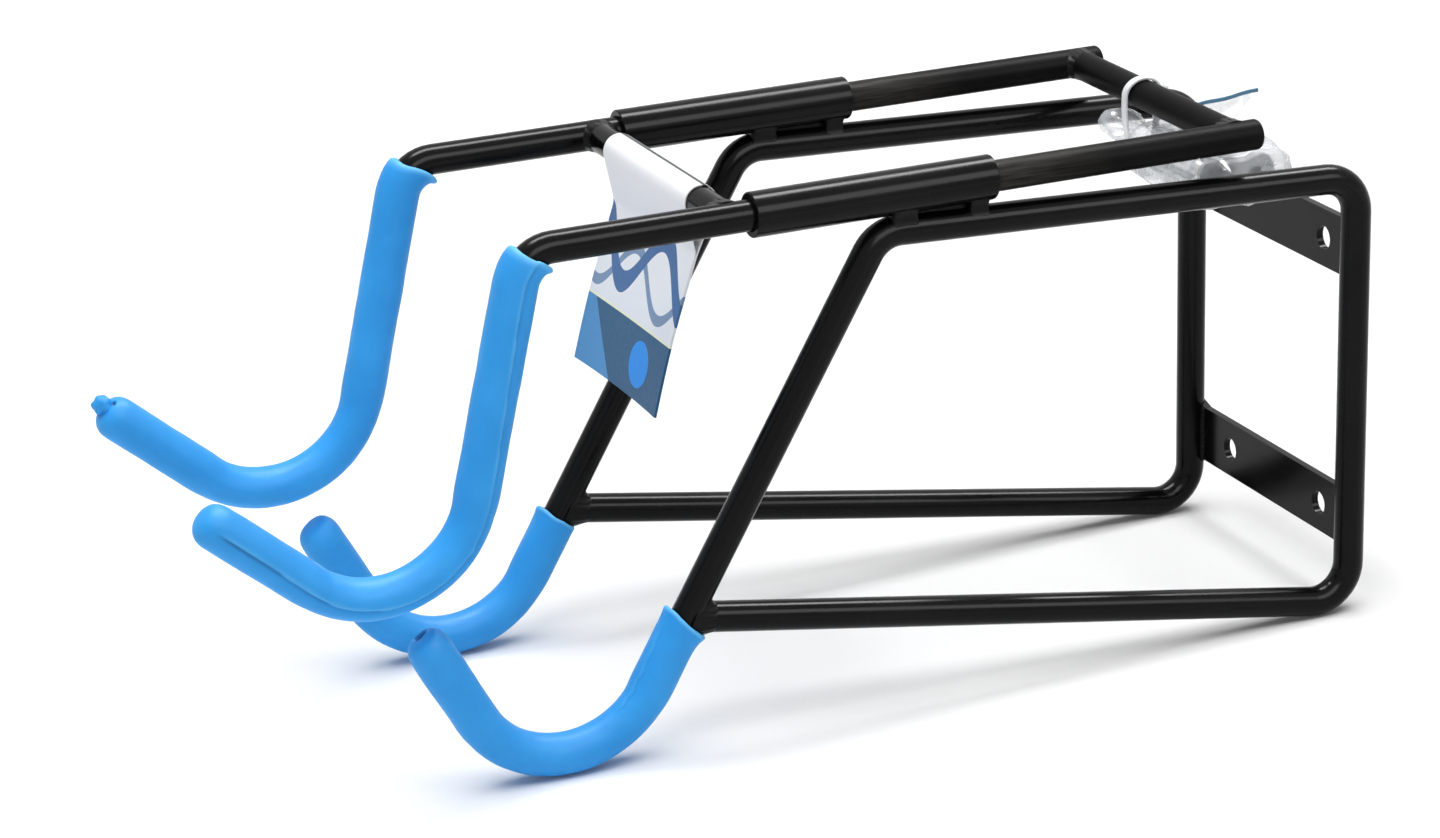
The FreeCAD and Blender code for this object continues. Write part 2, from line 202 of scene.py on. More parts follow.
def pick_none(kind):
    """Nothing picked in the mesh in hand, so that its vertices, edges or faces can be picked by code."""
    bpy.ops.object.mode_set(mode="EDIT")
    bpy.ops.mesh.select_mode(type=kind)
    bpy.ops.mesh.select_all(action="DESELECT")
    bpy.ops.object.mode_set(mode="OBJECT")


def cut_lengthwise(piece, length, cuts):
    """The long edges of a straight tube along Z, cut into equal runs."""
    pick_none("EDGE")
    for edge in piece.data.edges:
        first, second = (piece.data.vertices[index].co.z for index in edge.vertices)
        edge.select = abs(first - second) > length * mm / 2
    bpy.ops.object.mode_set(mode="EDIT")
    bpy.ops.mesh.subdivide(number_cuts=cuts)
    bpy.ops.object.mode_set(mode="OBJECT")


def cut_all(cuts):
    """Every edge of the piece in hand, cut into equal runs."""
    bpy.ops.object.mode_set(mode="EDIT")
    bpy.ops.mesh.select_all(action="SELECT")
    bpy.ops.mesh.subdivide(number_cuts=cuts)
    bpy.ops.object.mode_set(mode="OBJECT")


def face_outward():
    """Every face of the piece in hand turned outward."""
    bpy.ops.object.mode_set(mode="EDIT")
    bpy.ops.mesh.select_all(action="SELECT")
    bpy.ops.mesh.normals_make_consistent(inside=False)
    bpy.ops.object.mode_set(mode="OBJECT")


def add_block(size, middle=(0, 0, 0)):
    """A plain block of that size, in metres, with its middle at a place."""
    deselect_all()
    bpy.ops.mesh.primitive_cube_add(size=1, location=middle, scale=size)
    bpy.ops.object.transform_apply(location=True, rotation=False, scale=True)
    return bpy.context.object


def set_down(piece, place):
    """Moves a modelled piece to its place, which goes into its mesh."""
    piece.matrix_world = place
    bpy.ops.object.transform_apply(location=True, rotation=True, scale=True)


def join_as(name, pieces):
    """Modelled pieces made one named object."""
    deselect_all()
    for piece in pieces:
        piece.select_set(True)
    bpy.context.view_layer.objects.active = pieces[0]
    if len(pieces) > 1:
        bpy.ops.object.join()
    joined = bpy.context.object
    joined.name = name
    joined.data.name = name
    return joined


def dress(piece, material, body, slot, *stands_for):
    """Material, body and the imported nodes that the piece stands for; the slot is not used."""
    piece.data.materials.clear()
    piece.data.materials.append(material)
    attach(piece, body)
    if stands_for:
        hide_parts(*stands_for)


dab_length = 3.0
ripple_height = 0.28
ring_depth = 1.6
ring_bite = 0.4


def fillet_weld(meet, along_bar, along_other, setback, leg):
    """Weld metal round the end of a bar that butts on another bar of the same size.

    The ring runs up in a low slope from the bar to the other bar's round side, rippled by the torch's dabs.
    """
    deselect_all()
    ring_r = bar_r + leg / 2
    bpy.ops.mesh.primitive_torus_add(
        major_segments=128, minor_segments=24, major_radius=ring_r * mm, minor_radius=leg / 2 * mm)
    weld = bpy.context.object
    end_way = Vector(along_bar).normalized()
    other_way = Vector(along_other).normalized()
    slant = other_way.dot(end_way)
    across_way = (other_way - end_way * slant).normalized()
    upright_way = math.sqrt(1 - slant ** 2)
    dabs = round(2 * math.pi * ring_r / dab_length)
    start = -setback - leg
    for vertex in weld.data.vertices:
        turn = math.atan2(vertex.co.y, vertex.co.x)
        round_ring = math.atan2(vertex.co.z, math.hypot(vertex.co.x, vertex.co.y) - ring_r * mm)
        share = abs(round_ring) / math.pi
        side = abs(math.sin(turn))
        radius = bar_r - ring_depth
        if round_ring >= 0:
            wander = noise.noise(Vector((turn * 3, share * 2, meet[1])))
            ripple = abs(math.sin(turn * dabs / 2)) - 0.6 + wander
            radius = bar_r - 0.05 + leg * (1 - 0.8 * side ** 2) * share ** 1.35
            radius += ripple_height * ripple * math.sin(math.pi * share)
        sag = bar_r - math.sqrt(max(0.6, bar_r ** 2 - (radius * side) ** 2))
        foot = sag / upright_way + radius * math.cos(turn) * slant / upright_way + ring_bite
        vertex.co = Vector((
            radius * math.cos(turn), radius * math.sin(turn), start + (foot - start) * share)) * mm
    turned = Matrix((across_way, end_way.cross(across_way), end_way)).transposed().to_4x4()
    place = Vector(meet) - end_way * bar_r / upright_way
    set_down(weld, Matrix.Translation(place * mm) @ turned)
    face_outward()
    bpy.ops.object.shade_smooth()
    return weld


web_fillet_r = 6.0
rail_bite = 1.0
sleeve_bite = 4.6
web_sink = 0.08


def weld_web(sign, middle_y, length, flare, fill):
    """Weld metal between a rail and its sleeve: a block whose two sides run in a fillet from bar to bar.

    It widens towards both bars by the flare, and takes up the stated share of the fillet's width.
    """
    web = add_block((1, 1, 1))
    cut_all(23)
    rail_z = top_rail_z - (middle_y + bar_r) * top_rail_slope
    apart = sleeve_z - rail_z
    rail_reach, sleeve_reach = bar_r + web_fillet_r, sleeve_r + web_fillet_r
    fillet_up = (rail_reach ** 2 - sleeve_reach ** 2 + apart ** 2) / (2 * apart)
    fillet_out = math.sqrt(rail_reach ** 2 - fillet_up ** 2)
    low, high = rail_z + rail_bite, sleeve_z - sleeve_bite
    for vertex in web.data.vertices:
        level = vertex.co.z + 0.5
        z = low + (high - low) * level
        half = fillet_out - math.sqrt(max(0.0, web_fillet_r ** 2 - (z - rail_z - fillet_up) ** 2))
        for bar_z, radius, rise in ((rail_z, bar_r, fillet_up), (sleeve_z, sleeve_r, apart - fillet_up)):
            if abs(z - bar_z) < radius * rise / (radius + web_fillet_r):
                half = math.sqrt(radius ** 2 - (z - bar_z) ** 2) - web_sink
        push = noise.noise(Vector((vertex.co.y * 3, z * 0.3, middle_y)))
        rounded = (1 - (2 * abs(vertex.co.y)) ** 7) ** 0.25 * 0.45 + 0.55
        spread_out = 1 + flare * (2 * level - 1) ** 2 + 0.04 * push
        vertex.co = Vector((
            sign * side_x + 2 * vertex.co.x * half * fill * rounded,
            middle_y + vertex.co.y * length * spread_out, z)) * mm
    set_down(web, Matrix.Identity(4))
    bpy.ops.object.shade_smooth_by_angle(angle=math.radians(50))
    return web


scallop_pitch = 2.4


def straight_bead(centre, length, width, height):
    """A straight bead along Z: a rod squashed to a low crown, in scallops."""
    deselect_all()
    bpy.ops.mesh.primitive_cylinder_add(vertices=18, radius=mm, depth=length * mm, end_fill_type="NGON")
    bead = bpy.context.object
    cut_lengthwise(bead, length, 60)
    for vertex in bead.data.vertices:
        along = vertex.co.z / (length * mm)
        ends = max(0.0, 1 - (2 * abs(along)) ** 8) ** 0.5
        scallop = 0.86 + 0.2 * abs(math.sin(math.pi * along * length / scallop_pitch))
        rough = 1 + 0.25 * noise.noise(vertex.co * 230 + Vector(centre))
        vertex.co.x *= width * ends * scallop * rough
        vertex.co.y *= height * ends * scallop * rough
    set_down(bead, Matrix.Translation(Vector(centre) * mm))
    bpy.ops.object.shade_smooth()
    return bead


# Where each bottom rail's middle line meets its strut's, and the ways that the two run.
rail_meet = (-297.185, -39.204)
rail_rise = math.radians(9.8)
strut_fall_deg = 59.0
strut_fall = math.radians(strut_fall_deg)
rail_out = (0, -math.cos(rail_rise), math.sin(rail_rise))
strut_down = (0, -math.cos(strut_fall), -math.sin(strut_fall))
rail_rings = [
    fillet_weld((sign * side_x, *rail_meet), rail_out, strut_down, setback=2.4, leg=2.6) for sign in (1, -1)
]
dress(join_as("rail_weld_beads", rail_rings), weld_coat, "frame", "coated_weld", "rail_welds")

# Middle, length, flare and share of the fillet: two deposits, then the thin run that closes the slot.
sleeve_webs = [(-204.2, 10.6, 0.28, 1.0), (-173.4, 8.0, 0.34, 1.0), (-188.5, 26.0, 0.0, 0.26)]
for side, sign in (("right", 1), ("left", -1)):
    webs = [weld_web(sign, *web) for web in sleeve_webs]
    dress(join_as(side + "_sleeve_weld_webs", webs), weld_coat, "frame", "coated_weld", side + "_sleeve_welds")

bead_place = (58.5, -3.1)
bead_size = (26.0, 1.9, 1.5)
for level, plate_z in (("upper", 57.0), ("lower", -57.0)):
    finish_node(level + "_plate_welds", weld_coat)
    beads = [straight_bead((sign * bead_place[0], bead_place[1], plate_z), *bead_size) for sign in (1, -1)]
    dress(join_as(level + "_plate_beads", beads), weld_coat, "frame", "coated_weld")


# Foam grips of the lower hooks
# Straight lengths of blue closed-cell foam tube with a smooth skin, pulled over the hooks and closed at
# the tip. The cut rim stands open round the bar, and the skin thins a little where the hook turns.

foam_blue = (0.026, 0.29, 0.73)
foam_light = (0.036, 0.345, 0.82)
# Pale tone: a paler row at the rim, and a painted highlight along a seam's raised lip. Dark tone: painted shade
# in a seam's groove, in the gap of a folded end and in a pin hole.
foam_pale_rim_and_highlight = (0.16, 0.56, 0.92)
foam_painted_shade = (0.003, 0.014, 0.045)
foam, foam_tree, foam_shader = new_material("blue_foam_skin", Specular_IOR_Level=0.18)
foam_grain = add_grain(foam_tree, 38.0, 1900.0, 700.0)
foam_rim_and_painted_light = add_node(foam_tree, "ShaderNodeAttribute", attribute_name="foam_rim_and_painted_light", attribute_type="GEOMETRY")
foam_blotch = spread(foam_tree, foam_grain.outputs["Blotch"], 0, 1, 0.3, 0.7)
# The skin's mark read as two masks: the pale rim with the painted highlight, and the painted shade.
pale_rim_and_painted_highlight = spread(foam_tree, foam_rim_and_painted_light.outputs["Fac"], 1, 0, -1, 0)
painted_shade_mask = spread(foam_tree, foam_rim_and_painted_light.outputs["Fac"], 0, 1)
foam_tone = blend_colours(foam_tree, foam_blotch, foam_blue, foam_light)
foam_tone = blend_colours(foam_tree, pale_rim_and_painted_highlight, foam_tone, foam_pale_rim_and_highlight)
foam_tone = blend_colours(foam_tree, painted_shade_mask, foam_tone, foam_painted_shade)
wire(foam_tree,
     (foam_tone, foam_shader.inputs["Base Color"]),
     (spread(foam_tree, foam_grain.outputs["Speck"], 0.42, 0.56, 0.3, 0.7), foam_shader.inputs["Roughness"]))
add_bump(foam_tree, foam_shader, foam_grain.outputs["Grain"], 0.16, 0.00025)

grip_r = 8.5
grip_wall = 2.2
row_length = 1.5
dome_rows = 22
dome_power = 0.77
hook_r = 40.0


def hook_line(start, slope_deg, runs):
    """The middle line of a hook: place and slope at a distance along runs of (length, turn in degrees)."""
    def at(distance):
        y, z = start
        slope = math.radians(slope_deg)
        for index, (length, turn_deg) in enumerate(runs):
            last = index == len(runs) - 1
            step = distance if last else min(distance, length)
            turn = math.radians(turn_deg) * step / length
            if abs(turn) < 1e-9:
                y -= math.cos(slope) * step
                z += math.sin(slope) * step
            else:
                radius = step / turn
                y -= radius * (math.sin(slope + turn) - math.sin(slope))
                z -= radius * (math.cos(slope + turn) - math.cos(slope))
            slope += turn
            distance -= step
            if distance <= 0:
                break
        return y, z, slope
    return at


def foam_tube(name, length, shape, line, x):
    """A straight tube with a blunt domed end, shaped while straight, then bent round its hook."""
    deselect_all()
    body_rows = round(length / row_length)
    rows = body_rows + dome_rows
    bpy.ops.mesh.primitive_cylinder_add(
        vertices=80, radius=mm, depth=rows * mm, end_fill_type="NOTHING", location=(0, 0, rows * mm / 2))
    tube = bpy.context.object
    bpy.ops.object.transform_apply(location=True)
    cut_lengthwise(tube, rows, rows - 1)
    marks = tube.data.attributes.new("foam_rim_and_painted_light", "FLOAT", "POINT")
    tip = []
    for vertex in tube.data.vertices:
        row = round(vertex.co.z / mm)
        turn = math.atan2(vertex.co.y, vertex.co.x)
        if row == rows:
            tip.append(vertex.index)
        lean = max(0, row - body_rows) / dome_rows * math.pi / 2
        narrow = max(0.0, math.cos(lean)) ** dome_power
        distance = length * min(row, body_rows) / body_rows + grip_r * math.sin(lean) ** dome_power
        radius, shift, mark = shape(distance, turn, narrow)
        radius *= narrow
        y, z, slope = line(distance + shift)
        rise = radius * math.sin(turn)
        vertex.co = Vector((
            x + radius * math.cos(turn), y + rise * math.sin(slope), z + rise * math.cos(slope))) * mm
        marks.data[vertex.index].value = mark
    pick_none("VERT")
    for index in tip:
        tube.data.vertices[index].select = True
    bpy.ops.object.mode_set(mode="EDIT")
    bpy.ops.mesh.merge(type="CENTER")
    bpy.ops.object.mode_set(mode="OBJECT")
    face_outward()
    apply_modifier(tube, "SOLIDIFY", thickness=grip_wall * mm, offset=-1, use_rim=True)
    apply_modifier(tube, "SUBSURF", levels=1, render_levels=1)
    bpy.ops.object.shade_smooth()
    return join_as(name, [tube])


bend_ease = 6.0
lip_length = 2.6
rim_reach = 24.0


def foam_skin(seed, bend, thin, flare, flare_deg, ragged, tilt, tilt_deg, bow=1.0, seam=None, end=None):
    """The rule of a grip's skin: how far it stands from the middle line, how far it is shifted along that
    line, and how much painted shade (above 0) or paler tone (below 0) it carries there. The rim row is paler;
    a seam gets a painted highlight along its raised lip and painted shade in the groove under it.

    It thins from the bend's start to its end, flares, slants and frays at the rim, and may have a seam,
    as (turn along the grip, raised edge, start, end), and a shaped end.
    """
    bend_start, bend_end = bend
    flare_at, tilt_at = math.radians(flare_deg), math.radians(tilt_deg)

    def shape(distance, turn, narrow):
        into = min(1.0, max(0.0, (distance - bend_start) / bend_ease))
        out = min(1.0, max(0.0, (bend_end - distance) / bend_ease))
        radius = grip_r - thin * into * out
        soft = Vector((math.cos(turn) * 0.9, math.sin(turn) * 0.9, distance * 0.05 + seed))
        radius += 0.28 * noise.noise(soft) + 0.1 * noise.noise(soft * 3.1)
        lip = math.exp(-distance / lip_length)
        side = max(0.0, math.cos(turn - flare_at))
        radius += lip * flare * (1 + 1.6 * side ** 1.5)
        fray = noise.noise(Vector((math.cos(turn) * 1.6, math.sin(turn) * 1.6, seed + 7)))
        near_rim = max(0.0, 1 - distance / rim_reach)
        shift = near_rim * (ragged * fray + tilt * (0.5 + 0.5 * math.cos(turn - tilt_at)) ** bow)
        mark = -0.6 if distance == 0 else 0.0
        if seam:
            seam_turn, raised, seam_from, seam_to = seam
            past = (turn - seam_turn(distance) + math.pi) % (2 * math.pi) - math.pi
            begun = min(1.0, max(0.0, (distance - seam_from) / 4))
            left = min(1.0, max(0.0, (seam_to - distance) / 6))
            edge = raised * begun * left
            # The raised lip gets a painted highlight; the groove under it gets painted shade, stronger towards
            # the tip.
            if past >= 0:
                radius += edge * math.exp(-past / 0.45)
                mark -= 0.5 * edge * math.exp(-((past - 0.05) / 0.07) ** 2)
            else:
                shade = 0.12 + 0.7 * (distance / seam_to) ** 6
                radius -= 0.7 * edge * math.exp(past / 0.14)
                mark += shade * edge * math.exp(-((past + 0.06) / 0.07) ** 2)
        if end and narrow < 1:
            shift, mark = end(turn, narrow, shift, mark)
        return radius, shift, mark
    return shape


def end_spot(turn, narrow, spot_deg, off_middle, half_along, half_out):
    """1 in a spot on a grip's end, off its middle, and 0 round it."""
    past = turn - math.radians(spot_deg)
    along = grip_r * narrow * math.sin(past)
    out = grip_r * narrow * math.cos(past) - off_middle
    return math.exp(-(along / half_along) ** 4 - (out / half_out) ** 4)


def folded_end(gap_depth):
    """The tube's mouth folded shut: a blunt end, cut a little aslant, with one small gap left open, darkened
    with painted shade where it has depth.
    """
    low_turn = math.radians(-100)

    def end(turn, narrow, shift, mark):
        shift += 0.25 * math.exp(-((narrow - 0.72) / 0.10) ** 2) - 0.5 * max(0.0, 1 - narrow / 0.66)
        shift -= (1 - narrow) ** 0.7 * 0.25 * grip_r * narrow * math.cos(turn - low_turn)
        gap = end_spot(turn, narrow, 175, 2.6, 2.5, 1.6)
        return shift - gap_depth * gap, max(mark, gap if gap_depth else 0.0)
    return end


def right_wrinkle(distance):
    """A wrinkle on the front of the strut, which wavers on its way down from the rim."""
    return math.radians(66 + 14 * math.exp(-distance / 14) + 2.5 * math.sin(distance * 0.8))


# Lower hooks: from just under the bottom rail down the strut, round the hook and up to the tip.
lower_start = (-299.467, -43.001)
lower_straight = 25.785
lower_turn_deg = 121.0
lower_tip_run = 33.3
lower_arc = math.radians(lower_turn_deg) * hook_r
lower_length = lower_straight + lower_arc + lower_tip_run
lower_runs = [(lower_straight, 0), (lower_arc, lower_turn_deg), (lower_tip_run, 0)]
lower_line = hook_line(lower_start, -strut_fall_deg, lower_runs)
lower_bend = (26, 110)
lower_grips = {
    "right_lower_grip": foam_skin(
        seed=1.7, bend=lower_bend, thin=0.35, flare=0.9, flare_deg=-70, ragged=0.35, tilt=-5.6, tilt_deg=90,
        seam=(right_wrinkle, 0.42, 5, 42), end=folded_end(3.2)),
    "left_lower_grip": foam_skin(
        seed=9.2, bend=lower_bend, thin=0.35, flare=0.40, flare_deg=85, ragged=0.8, tilt=-1.4, tilt_deg=85,
        seam=(lambda distance: math.radians(190), 0.25, 2, lower_length - 4), end=folded_end(0.0)),
}
for node, sign in (("right_lower_grip", 1), ("left_lower_grip", -1)):
    grip = foam_tube(node + "_foam", lower_length, lower_grips[node], lower_line, sign * side_x)
    dress(grip, foam, "frame", "blue_foam", node)


# Upper arms and cross bars
# Two hooked arms of the same bar with a cross bar between them in front of and behind the sleeves.
# The shanks are rubbed dull where the sleeves slide on them.

arm_z = sleeve_z
rub_tone = (0.034, 0.032, 0.028)
rub_start = (-0.168, -0.164)
rub_fade = (-0.155, -0.115)
rubbed_coat, rubbed_tree, rubbed_shader = new_material("rubbed_powder_coat")
rubbed_grain = add_grain(rubbed_tree, *coat_grain)
rubbed_place = rubbed_tree.nodes.new("ShaderNodeTexCoord")
rubbed_axes = rubbed_tree.nodes.new("ShaderNodeSeparateXYZ")
streak_stretch = add_node(rubbed_tree, "ShaderNodeMapping", {"Scale": (1.0, 0.06, 1.0)})
streaks = add_node(rubbed_tree, "ShaderNodeTexNoise", {"Scale": 900.0, "Detail": 3.0})
wire(rubbed_tree,
     (rubbed_place.outputs["Object"], rubbed_axes.inputs["Vector"]),
     (rubbed_place.outputs["Object"], streak_stretch.inputs["Vector"]),
     (streak_stretch.outputs["Vector"], streaks.inputs["Vector"]))
behind_sleeve = spread(rubbed_tree, rubbed_axes.outputs["Y"], 0, 1, *rub_start)
rub_mask = behind_sleeve
for share in (spread(rubbed_tree, rubbed_axes.outputs["Y"], 1, 0, *rub_fade),
              spread(rubbed_tree, streaks.outputs["Fac"], 0.25, 1.0, 0.35, 0.65)):
    product = add_node(rubbed_tree, "ShaderNodeMath", operation="MULTIPLY")
    wire(rubbed_tree, (rub_mask, product.inputs[0]), (share, product.inputs[1]))
    rub_mask = product.outputs[0]
rubbed_blotch = spread(rubbed_tree, rubbed_grain.outputs["Blotch"], 0, 1, 0.35, 0.7)
rubbed_tone = blend_colours(rubbed_tree, rubbed_blotch, coat_black, coat_worn)
wire(rubbed_tree,
     (blend_colours(rubbed_tree, rub_mask, rubbed_tone, rub_tone), rubbed_shader.inputs["Base Color"]),
     (spread(rubbed_tree, behind_sleeve, 0.19, 0.44), rubbed_shader.inputs["Roughness"]),
     (spread(rubbed_tree, behind_sleeve, coat_specular, 0.04), rubbed_shader.inputs["Specular IOR Level"]))
add_bump(rubbed_tree, rubbed_shader, rubbed_grain.outputs["Grain"], coat_peel, peel_depth)

for side in ("right", "left"):
    finish_node(side + "_upper_arm", rubbed_coat)
finish_node("front_cross_bar", coat)
finish_node("rear_cross_bar", rubbed_coat)

bar_places = {"front": -274.8, "rear": -61.0}
for place, bar_y in bar_places.items():
    rings = [
        fillet_weld((sign * side_x, bar_y, arm_z), (sign, 0, 0), (0, 1, 0), setback=0.0, leg=2.3)
        for sign in (1, -1)
    ]
    dress(join_as(place + "_bar_weld_beads", rings), weld_coat, "slider", "coated_weld", place + "_bar_welds")


# Foam grips of the upper hooks
# The same tube in longer lengths, from the bend of each arm to its tip. The right one is slit along its
# outer side and closes with a raised edge; the left one ends in a pinched nub.

arm_start_y = -323.538
arm_run = 20.0
arm_bend_r = 15.0
arm_bend_deg = 76.2
covered_bend_deg = 36.2
upper_drop = 82.52
upper_turn_deg = 117.2
upper_tip_run = 42.3
full_bend = math.radians(arm_bend_deg) * arm_bend_r
covered_bend = math.radians(covered_bend_deg) * arm_bend_r
upper_arc = math.radians(upper_turn_deg) * hook_r
upper_length = covered_bend + upper_drop + upper_arc + upper_tip_run
arm_runs = [
    (arm_run, 0), (full_bend, -arm_bend_deg), (upper_drop, 0), (upper_arc, upper_turn_deg),
    (upper_tip_run, 0),
]
arm_line = hook_line((arm_start_y, arm_z), 0.0, arm_runs)


def upper_line(distance):
    """The arm's middle line, measured from the grip's rim, which lies part of the way round the bend."""
    return arm_line(distance + arm_run + full_bend - covered_bend)


def right_seam(distance):
    """The slit lies along the outer side: it wanders down a little at the hook's bottom."""
    share = min(1.0, distance / upper_length)
    return math.radians(-2 - 16 * math.sin(math.pi * share) ** 2)


def pin_hole(turn, narrow, shift, mark):
    """A blunt tip with a pin hole beside its nub, the hole darkened with painted shade."""
    hole = end_spot(turn, narrow, 61, 4.6, 1.0, 0.8)
    shift -= 0.8 * max(0.0, 1 - narrow / 0.6)
    return shift - 1.6 * hole, max(mark, hole)


nub_r = 3.6
nub_out = 1.2
nub_aside = 0.4
nub_rise = 1.4


def tip_nub(x):
    """A knot of foam squeezed out of a tip: a ball, pulled out a little and left lumpy."""
    deselect_all()
    bpy.ops.mesh.primitive_uv_sphere_add(segments=28, ring_count=18, radius=nub_r * mm)
    nub = bpy.context.object
    for vertex in nub.data.vertices:
        lump = noise.noise(vertex.co * 420 + Vector((3, 8, 1)))
        vertex.co *= 1 + 0.3 * lump
        vertex.co.z *= 1.1
    y, z, slope = upper_line(upper_length + grip_r + nub_out)
    turned = Matrix.Rotation(math.pi / 2 - slope, 4, "X")
    middle = Vector((x + nub_aside, y + nub_rise * math.sin(slope), z + nub_rise * math.cos(slope))) * mm
    set_down(nub, Matrix.Translation(middle) @ turned)
    bpy.ops.object.shade_smooth()
    return nub


upper_bend = (90, 176)
upper_grips = {
    "right_upper_grip": foam_skin(
        seed=4.1, bend=upper_bend, thin=0.4, flare=0.42, flare_deg=-90, ragged=0.3, tilt=-8.5, tilt_deg=-90,
        bow=1.8, seam=(right_seam, 0.9, 0, upper_length + 3)),
    "left_upper_grip": foam_skin(
        seed=13.6, bend=upper_bend, thin=0.4, flare=0.6, flare_deg=-80, ragged=0.4, tilt=-11.5, tilt_deg=-85,
        bow=1.8, seam=(lambda distance: math.radians(200), 0.3, 2, upper_length - 4), end=pin_hole),
}
for node, sign in (("right_upper_grip", 1), ("left_upper_grip", -1)):
    grip = foam_tube(node + "_foam", upper_length, upper_grips[node], upper_line, sign * side_x)
    if node == "left_upper_grip":
        grip = join_as(node + "_foam", [grip, tip_nub(sign * side_x)])
    dress(grip, foam, "slider", "blue_foam", node)


# Cable tie
# A white nylon tie that holds the bag under the rear cross bar: a flat strap round the bar and the bag's
# neck, pulled through a square head behind the bar, with its cut tail standing out of the head.

def grained_skin(name, scales, low, high, rough, relief, **principled):
    """A skin in two blended tones, with uneven gloss and a fine relief."""
    material, tree, shader = new_material(name, **principled)
    grain = add_grain(tree, *scales)
    wire(tree,
         (blend_colours(tree, grain.outputs["Blotch"], low, high), shader.inputs["Base Color"]),
         (spread(tree, grain.outputs["Speck"], *rough, 0.3, 0.7), shader.inputs["Roughness"]))
    add_bump(tree, shader, grain.outputs["Grain"], relief, 0.0001)
    return material


def round_edges(piece, width, segments, sharp_deg):
    """Edges sharper than an angle rounded off, and the rest shaded smooth."""
    apply_modifier(
        piece, "BEVEL", width=width * mm, segments=segments, limit_method="ANGLE",
        angle_limit=math.radians(sharp_deg))
    bpy.ops.object.shade_smooth_by_angle(angle=math.radians(40))


nylon = grained_skin(
    "white_nylon", (60.0, 2400.0, 900.0), (0.80, 0.82, 0.84), (0.88, 0.89, 0.90), (0.30, 0.46), 0.08,
    Specular_IOR_Level=0.5)
tie_x = -9.5
strap_width = 3.6
strap_thick = 1.1
strap_bar_r = 6.4
strap_neck_r = 4.9
neck_drop = 17.0


def strap_place(share):
    """A place on the strap's inner face, from the bar's top round the front: Y and Z from the bar's middle."""
    lean = math.asin((strap_bar_r - strap_neck_r) / neck_drop)
    top_arc = strap_bar_r * (math.pi / 2 + lean)
    side_run = math.sqrt(neck_drop ** 2 - (strap_bar_r - strap_neck_r) ** 2)
    foot_arc = strap_neck_r * (math.pi / 2 - lean)
    along = abs((share + 0.5) % 1.0 - 0.5) * 2 * (top_arc + side_run + foot_arc)
    front = 1 if (share % 1.0) < 0.5 else -1
    if along < top_arc:
        angle = along / strap_bar_r
        y, z = math.sin(angle) * strap_bar_r, math.cos(angle) * strap_bar_r
    elif along < top_arc + side_run:
        angle = math.pi / 2 + lean
        down = along - top_arc
        y = math.sin(angle) * strap_bar_r - math.sin(lean) * down
        z = math.cos(angle) * strap_bar_r - math.cos(lean) * down
    else:
        angle = math.pi / 2 + lean + (along - top_arc - side_run) / strap_neck_r
        y, z = math.sin(angle) * strap_neck_r, math.cos(angle) * strap_neck_r - neck_drop
    return -front * y, z


deselect_all()
bpy.ops.mesh.primitive_circle_add(vertices=120, radius=mm)
strap = bpy.context.object
for vertex in strap.data.vertices:
    share = math.atan2(vertex.co.y, vertex.co.x) / (2 * math.pi) % 1.0
    y, z = strap_place(share)
    swing = math.sin(2 * math.pi * share)
    skew = 1.0 + math.cos(2 * math.pi * share) - (3.6 if swing > 0 else 0.8) * swing
    vertex.co = Vector((tie_x + skew - strap_width / 2, bar_places["rear"] + y, arm_z + z)) * mm
bpy.ops.object.mode_set(mode="EDIT")
bpy.ops.mesh.select_all(action="SELECT")
bpy.ops.mesh.extrude_region_move(TRANSFORM_OT_translate={"value": (strap_width * mm, 0, 0)})
bpy.ops.object.mode_set(mode="OBJECT")
face_outward()
apply_modifier(strap, "SOLIDIFY", thickness=strap_thick * mm, offset=1)
round_edges(strap, 0.28, 3, 50)

head_middle = Vector((tie_x, -52.4, 105.6)) * mm
head_size = (5.6 * mm, 4.6 * mm, 6.4 * mm)
slot_rim = 0.9
slot_depth = 1.6
head = add_block(head_size, head_middle)
pick_none("FACE")
for face in head.data.polygons:
    face.select = face.normal.z > 0.9
bpy.ops.object.mode_set(mode="EDIT")
bpy.ops.mesh.inset(thickness=slot_rim * mm)
bpy.ops.mesh.extrude_region_move(TRANSFORM_OT_translate={"value": (0, 0, -slot_depth * mm)})
bpy.ops.object.mode_set(mode="OBJECT")
round_edges(head, 0.45, 3, 50)

tail_size = (strap_width * mm, strap_thick * mm, 9.0 * mm)
tail_middle = head_middle + Vector((0, 0.2 * mm, 6.0 * mm))
tail_bend = 2.2
tooth_depth = 0.18
tail = add_block(tail_size, tail_middle)
cut_all(9)
for vertex in tail.data.vertices:
    up = (vertex.co.z - tail_middle.z) / tail_size[2] + 0.5
    bent = tail_bend * mm * up ** 2
    vertex.co.y += bent
    if vertex.co.y < tail_middle.y + bent:
        vertex.co.y += tooth_depth * mm * (math.sin(vertex.co.z / mm * 4.2) > 0)
round_edges(tail, 0.2, 2, 60)
dress(join_as("cable_tie_strap", [strap, head, tail]), nylon, "slider", "tie_nylon", "cable_tie")


# Clear bag
# A pouch of thin clear film, drawn in to a neck where the tie holds it, its mouth left fluffed out past
# the tie. The film is creased all over; a blue press-seal strip stands out behind the bar.

